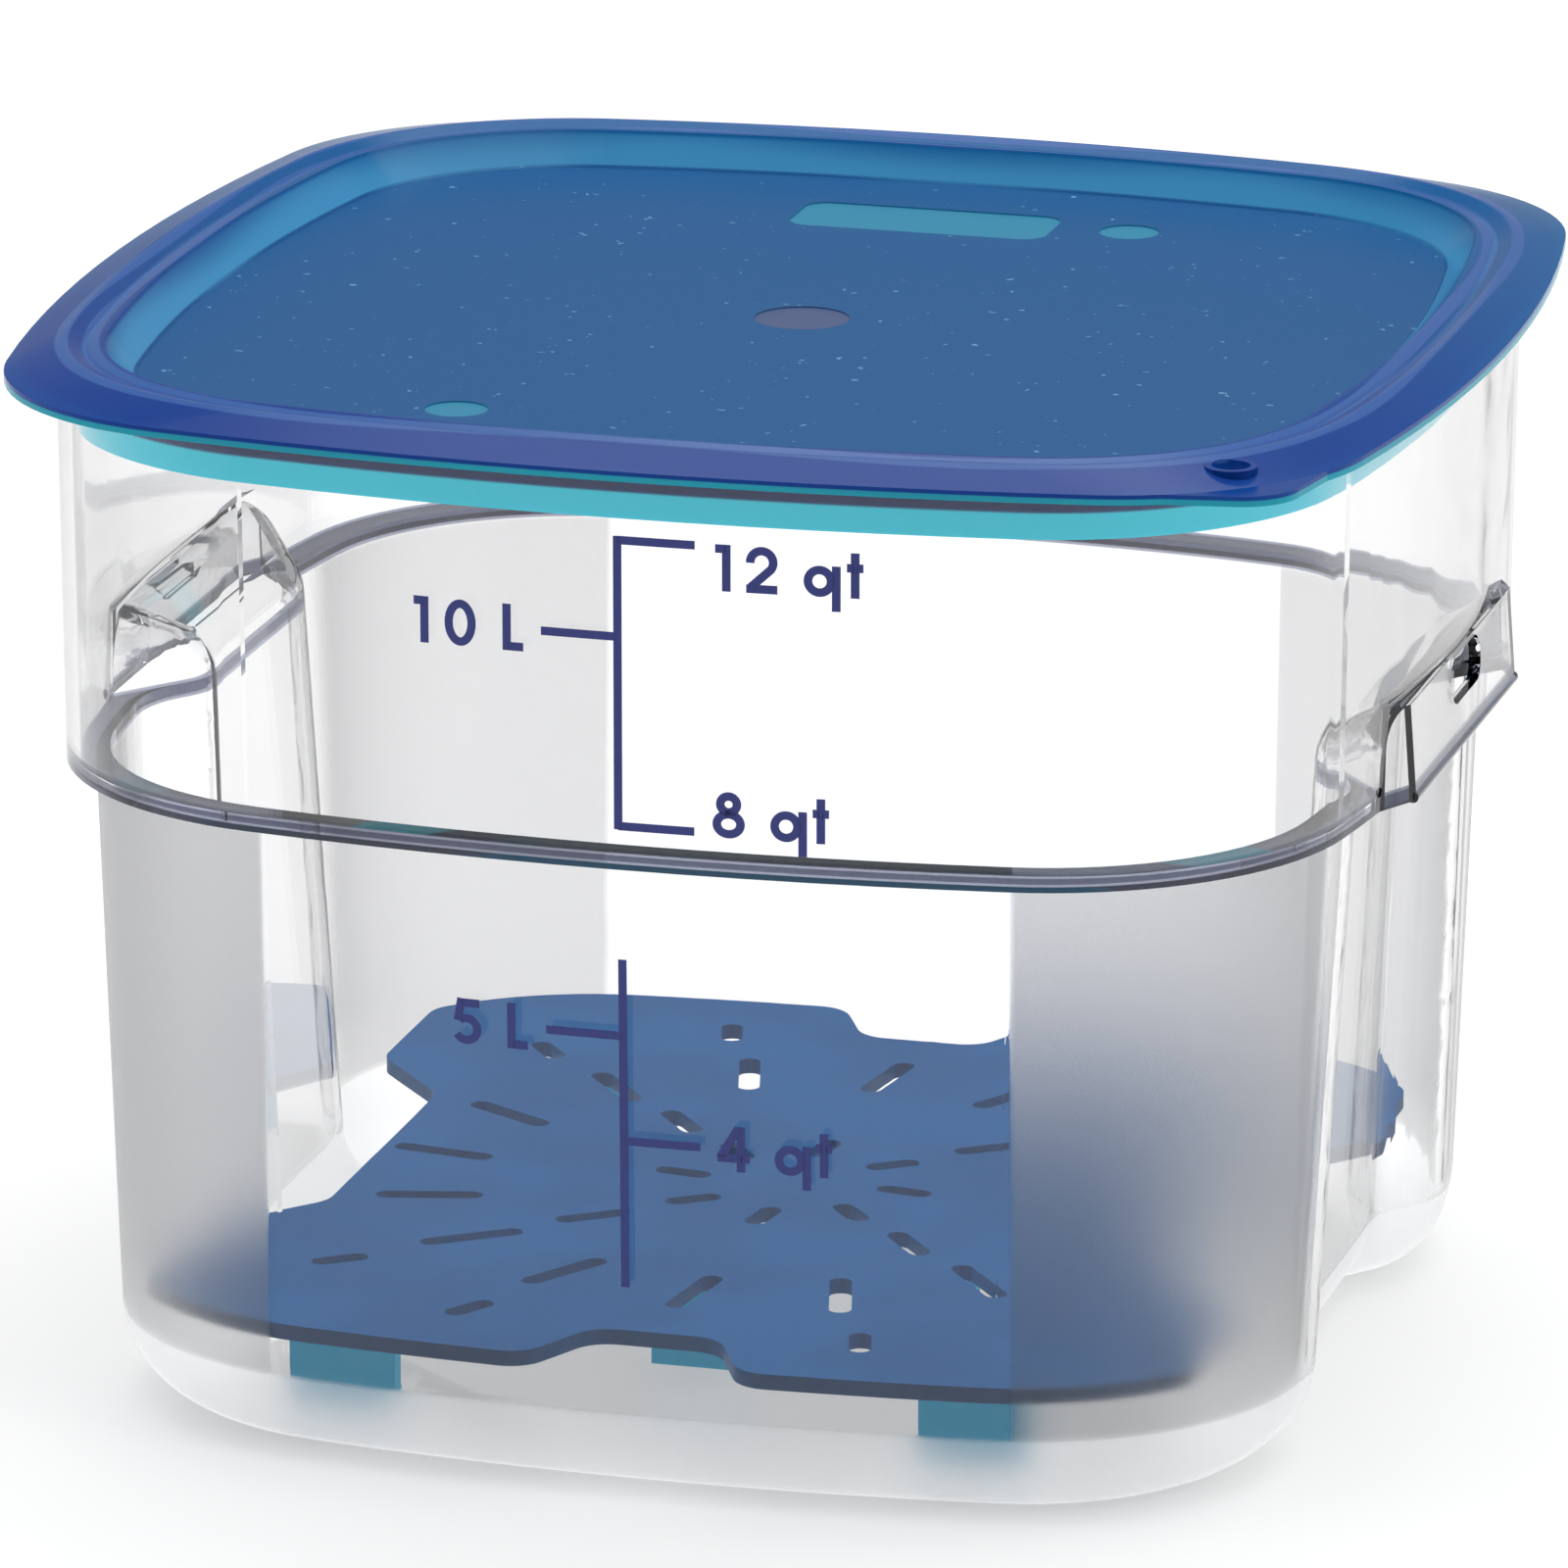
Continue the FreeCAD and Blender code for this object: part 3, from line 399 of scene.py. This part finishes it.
# %% Places and colours of the lid
PANEL_EDGE = (122.5, 121)
PANEL_LOW, PANEL_HIGH = 208.0, 211.4
CRESTS = ((133.2, 135.6), (127.6, 130.6))
CREST_START = (216.8, 217.2)
RIM_DEPTH = (-140, 120)
SLOPE_EDGE = (128.8, 122.6)
SLOPE_LOW, SLOPE_HIGH = 210.0, 217.0
LIP_EDGE = (141, 142)
LIP_UNDER = (214.4, 214.1)
SKIRT_TOP = (208.4, 207.8)
ROUND_PADS = ((-45.5, -90.5), (45.5, 90.5))
PAD_RADIUS = 6.3
GATE_RADIUS = 9.7

PANEL_BLUE = (0.005, 0.092, 0.265)
SPECK = (0.14, 0.33, 0.52)
RIM_FRONT = (0.003, 0.045, 0.265)
RIM_BACK_PAINTED_LIGHT = (0.0, 0.1, 0.3)
CREST_PAINTED_HIGHLIGHT = (0.04, 0.12, 0.37)
SLOPE_PAINTED_LIGHT = (0.05, 0.28, 0.52)
PAD_TEAL = (0.03, 0.24, 0.38)
GATE_GREY = (0.07, 0.105, 0.22)
LIP_TEAL = (0.02, 0.34, 0.44)
SKIRT_TEAL = (0.0, 0.52, 0.62)
SKIRT_PAINTED_GLOW = (0.02, 0.26, 0.31)
print("the rim rises from", PANEL_EDGE[0], "to its crest at", CRESTS[0], "and ends at", LIP_EDGE[1])

# %% The blue lid


def make_lid_plastic():
    r = Recipe("blue_lid_plastic")
    r.set(Transmission_Weight=0.25, IOR=1.33, Specular_IOR_Level=0.12, Emission_Strength=1.0)
    ring = ring_number(r)
    level = r.band(r.z, PANEL_LOW, PANEL_HIGH, 0.2)
    panel = r.math("MULTIPLY", r.ramp(ring, *in_metres(PANEL_EDGE)), level)
    specks = r.ramp(r.noise(420, 1.0), 0.74, 0.78)
    matte = r.colour(specks, PANEL_BLUE, SPECK)
    # The tops of both crests take a lighter blue: a painted highlight.
    crest = r.math("MAXIMUM", *(r.band(ring, *ends, 0.3) for ends in CRESTS))
    crest = r.math("MULTIPLY", crest, r.ramp(r.z, *in_metres(CREST_START)))
    # The rim turns a little greener towards the back: painted light.
    rim = r.colour(r.ramp(r.y, *in_metres(RIM_DEPTH)), RIM_FRONT, RIM_BACK_PAINTED_LIGHT)
    rim = r.colour(crest, rim, CREST_PAINTED_HIGHLIGHT)
    # The slope inside the rim grows lighter towards the panel: painted light.
    level = r.band(r.z, SLOPE_LOW, SLOPE_HIGH, 0.4)
    slope = r.math("MULTIPLY", r.ramp(ring, *in_metres(SLOPE_EDGE)), level)
    rim = r.colour(slope, rim, SLOPE_PAINTED_LIGHT)
    body = r.colour(panel, rim, matte)
    pads = r.math("MAXIMUM", *(r.near(*place, PAD_RADIUS) for place in ROUND_PADS))
    pads = r.math("MULTIPLY", r.math("MAXIMUM", pads, label_mask(r)), panel)
    body = r.colour(pads, body, PAD_TEAL)
    gate = r.math("MULTIPLY", r.near(0, 0, GATE_RADIUS), panel)
    body = r.colour(gate, body, GATE_GREY)
    below = r.ramp(r.z, *in_metres(LIP_UNDER))
    edge = r.math("MULTIPLY", r.ramp(ring, *in_metres(LIP_EDGE)), below)
    body = r.colour(edge, body, LIP_TEAL)
    skirt = r.ramp(r.z, *in_metres(SKIRT_TOP))
    r.links.new(r.colour(skirt, body, SKIRT_TEAL), r.shader.inputs["Base Color"])
    # The skirt glows: painted light that makes it a brighter teal.
    r.links.new(r.colour(skirt, BLACK, SKIRT_PAINTED_GLOW), r.shader.inputs["Emission Color"])
    r.links.new(r.math("MULTIPLY_ADD", panel, 0.16, 0.2), r.shader.inputs["Roughness"])
    r.grain(1900, panel, 0.02 * MM)
    r.lets_shadows_through((0.92, 0.925, 0.93))
    return r


dress(lid, make_lid_plastic())

# %% [markdown]
# The drain shelf looks like a plastic of the same family, in a darker blue, and its legs
# look teal. Two colours that meet at the underside of the plate follow the photograph.
# The legs also glow a little: painted light that lightens them.

# %% The drain shelf
PLATE_UNDER = (25.2, 24.8)
PLATE_BLUES = ((0.0, 0.1, 0.31), (0.0, 0.12, 0.36))
LEG_TEAL = (0.0, 0.3, 0.5)
LEG_PAINTED_GLOW = (0.004, 0.09, 0.14)


def make_shelf_plastic():
    r = Recipe("blue_shelf_plastic")
    r.set(Transmission_Weight=0.1, IOR=1.3, Roughness=0.35)
    r.set(Specular_IOR_Level=0.08, Emission_Strength=1.0)
    legs = r.ramp(r.z, *in_metres(PLATE_UNDER))
    plate = r.colour(r.ramp(r.noise(30, 2.0), 0.35, 0.65), *PLATE_BLUES)
    r.links.new(r.colour(legs, plate, LEG_TEAL), r.shader.inputs["Base Color"])
    # The legs glow a little: painted light.
    r.links.new(r.colour(legs, BLACK, LEG_PAINTED_GLOW), r.shader.inputs["Emission Color"])
    r.grain(1500, 1.0, 0.012 * MM)
    r.lets_shadows_through((0.9, 0.905, 0.91))
    return r


dress(shelf, make_shelf_plastic())

# %% [markdown]
# The volume marks are printed on the outside of the front wall in dark blue ink. The wall
# leans and bows, so each mark is modelled flat and then every point is moved on to the
# wall, a hair in front of it.

# %% The front wall as a formula
LEDGE, RIM = 133.3, 214.2
UPPER_HALF, UPPER_LEAN = 136.3, 1.0
LOWER_HALF, LOWER_LEAN = 126.0, 4.3
SIDE_BOW = 515.0
PRINT_GAP, PRINT_THICKNESS = 0.03, 0.08
print("the front wall stands at", -LOWER_HALF, "mm at the foot and", -UPPER_HALF, "above the ledge")


def wall_y(x, z):
    """Outer face of the front wall, in millimetres."""
    if z > LEDGE:
        half = UPPER_HALF + (z - LEDGE) / (RIM - LEDGE) * UPPER_LEAN
    else:
        half = LOWER_HALF + z / LEDGE * LOWER_LEAN
    return -(half - (SIDE_BOW - math.sqrt(SIDE_BOW ** 2 - x * x)))


def lay_on_wall(piece):
    """Moves a flat piece, drawn in X and Z, on to the wall and closes it to a thin print."""
    mesh = bmesh.new()
    mesh.from_mesh(piece.data)
    bmesh.ops.remove_doubles(mesh, verts=mesh.verts, dist=1e-6)
    bmesh.ops.triangulate(mesh, faces=mesh.faces[:])
    for face in mesh.faces:
        if face.normal.y > 0:
            face.normal_flip()
    whole = bmesh.ops.extrude_face_region(mesh, geom=mesh.faces[:])
    outer = {v for v in whole["geom"] if isinstance(v, bmesh.types.BMVert)}
    for v in mesh.verts:
        x, z = v.co.x / MM, v.co.z / MM
        lift = PRINT_GAP + (PRINT_THICKNESS if v in outer else 0.0)
        v.co.y = (wall_y(x, z) - lift) * MM
    bmesh.ops.recalc_face_normals(mesh, faces=mesh.faces[:])
    mesh.to_mesh(piece.data)
    mesh.free()
    piece.data.update()


# %% Strokes of even width


def deselect():
    for other in bpy.context.selected_objects:
        other.select_set(False)


STROKE = 1.7
LONGEST_STEP = 3


def stroke(points):
    """Flat strip along points given in millimetres, with cross cuts so that it can bend."""
    fine = [points[0]]
    for (x0, z0), (x1, z1) in zip(points, points[1:]):
        count = max(1, math.ceil(abs(x1 - x0) / LONGEST_STEP))
        shares = [i / count for i in range(1, count + 1)]
        fine += [(x0 + (x1 - x0) * share, z0 + (z1 - z0) * share) for share in shares]
    last = len(fine) - 1
    closed = math.dist(fine[0], fine[last]) < 0.001
    deselect()
    bpy.ops.mesh.primitive_grid_add(x_subdivisions=last, y_subdivisions=1, size=1)
    piece = bpy.context.object
    for v in piece.data.vertices:
        i = round((v.co.x + 0.5) * last)
        before, after = (fine[-2] if closed and i == 0 else fine[max(i - 1, 0)],
                         fine[1] if closed and i == last else fine[min(i + 1, last)])
        along = Vector((after[0] - before[0], after[1] - before[1])).normalized()
        side = STROKE / 2 if v.co.y > 0 else -STROKE / 2
        v.co = Vector((fine[i][0] - along.y * side, 0, fine[i][1] + along.x * side)) * MM
    return piece


def bow(cx, cz, rx, rz, start, end):
    """Points on an arc, given by the outer edge of the stroke that follows it."""
    steps = max(4, round(abs(end - start) / 12))
    turns = [math.radians(start + (end - start) * i / steps) for i in range(steps + 1)]
    rx, rz = rx - STROKE / 2, rz - STROKE / 2
    return [(cx + rx * math.cos(t), cz + rz * math.sin(t)) for t in turns]


def join(pieces, name):
    deselect()
    for piece in pieces:
        piece.select_set(True)
    bpy.context.view_layer.objects.active = pieces[0]
    bpy.ops.object.join()
    whole = bpy.context.object
    whole.name = name
    print(name, "from", len(pieces), "strokes")
    return whole


# %% [markdown]
# The figures are plain geometric ones of one stroke width: rings, arcs and straight bars.
# Each is drawn once as a list of strokes on a cap height of 9.3 mm, with its lower left
# corner at zero, and then written where the photograph shows it.

# %% The figures of the scale
TALL = 9.3
HALF = STROKE / 2
SHAPES = {
    "1": [[(0, TALL - HALF), (2.2, TALL - HALF)], [(2.2, TALL), (2.2, 0)]],
    "2": [bow(3.05, 6.2, 3.1, 3.1, 185, -38) + [(0.9, 1.2)], [(0, HALF), (6.1, HALF)]],
    "0": [bow(3.2, TALL / 2, 3.2, TALL / 2, 0, 360)],
    "4": [[(4.2, TALL - 0.3), (0.6, 2.9)], [(0, 2.8), (6.5, 2.8)], [(4.7, TALL), (4.7, 0)]],
    "5": [[(1.3, TALL - HALF), (5.5, TALL - HALF)], [(1.75, TALL), (1.0, 4.7)],
          bow(2.75, 3.05, 3.1, 3.1, 128, -150)],
    "8": [bow(3.2, 6.85, 2.5, 2.45, 0, 360), bow(3.2, 2.85, 3.2, 2.85, 0, 360)],
    "L": [[(HALF, TALL), (HALF, 0)], [(HALF, HALF), (4.2, HALF)]],
    "q": [bow(3.1, 3.1, 3.1, 3.1, 0, 360), [(6.35, 6.2), (6.35, -2.8)]],
    "t": [[(1.6, 9.0), (1.6, 0)], [(0, 6.0), (3.2, 6.0)]],
}


def write(sign, x, z):
    return [stroke([(px + x, pz + z) for px, pz in line]) for line in SHAPES[sign]]


# %% Where the lines and words stand on the wall
UPPER_X, LOWER_X = 0.7, -0.42
LINES = [
    [(UPPER_X, 200.3), (UPPER_X, 141.5)],
    [(UPPER_X, 199.5), (16.1, 199.5)],
    [(UPPER_X, 142.2), (15.9, 142.2)],
    [(-14.7, 180.2), (UPPER_X, 180.2)],
    [(LOWER_X, 113.2), (LOWER_X, 45.6)],
    [(LOWER_X, 75.9), (15.0, 75.9)],
    [(-16.1, 97.5), (LOWER_X, 97.5)],
]
WORDS = [  # foot of the word, then each sign and its left side
    (190.7, (("1", 20.1), ("2", 26.2), ("q", 37.4), ("t", 45.8))),
    (175.7, (("1", -40.7), ("0", -34.35), ("L", -22.5))),
    (141.3, (("8", 19.5), ("q", 30.9), ("t", 39.2))),
    (92.9, (("5", -35.3), ("L", -24.1))),
    (71.3, (("4", 18.4), ("q", 29.8), ("t", 38.0))),
]
scale_lines = join([stroke(line) for line in LINES], "scale_lines")
lay_on_wall(scale_lines)
drawn = [piece for z, signs in WORDS for sign, x in signs for piece in write(sign, x, z)]
scale_figures = join(drawn, "scale_figures")
lay_on_wall(scale_figures)

# %% The printing ink
INK_BLUES = ((0.012, 0.02, 0.15), (0.02, 0.032, 0.21))


def make_ink():
    r = Recipe("navy_ink")
    r.set(Roughness=0.45)
    patchy = r.noise(900, 3.0)
    r.links.new(r.colour(patchy, *INK_BLUES), r.shader.inputs["Base Color"])
    return r


ink = make_ink()
for piece in (scale_lines, scale_figures):
    dress(piece, ink)
    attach(piece, "container")
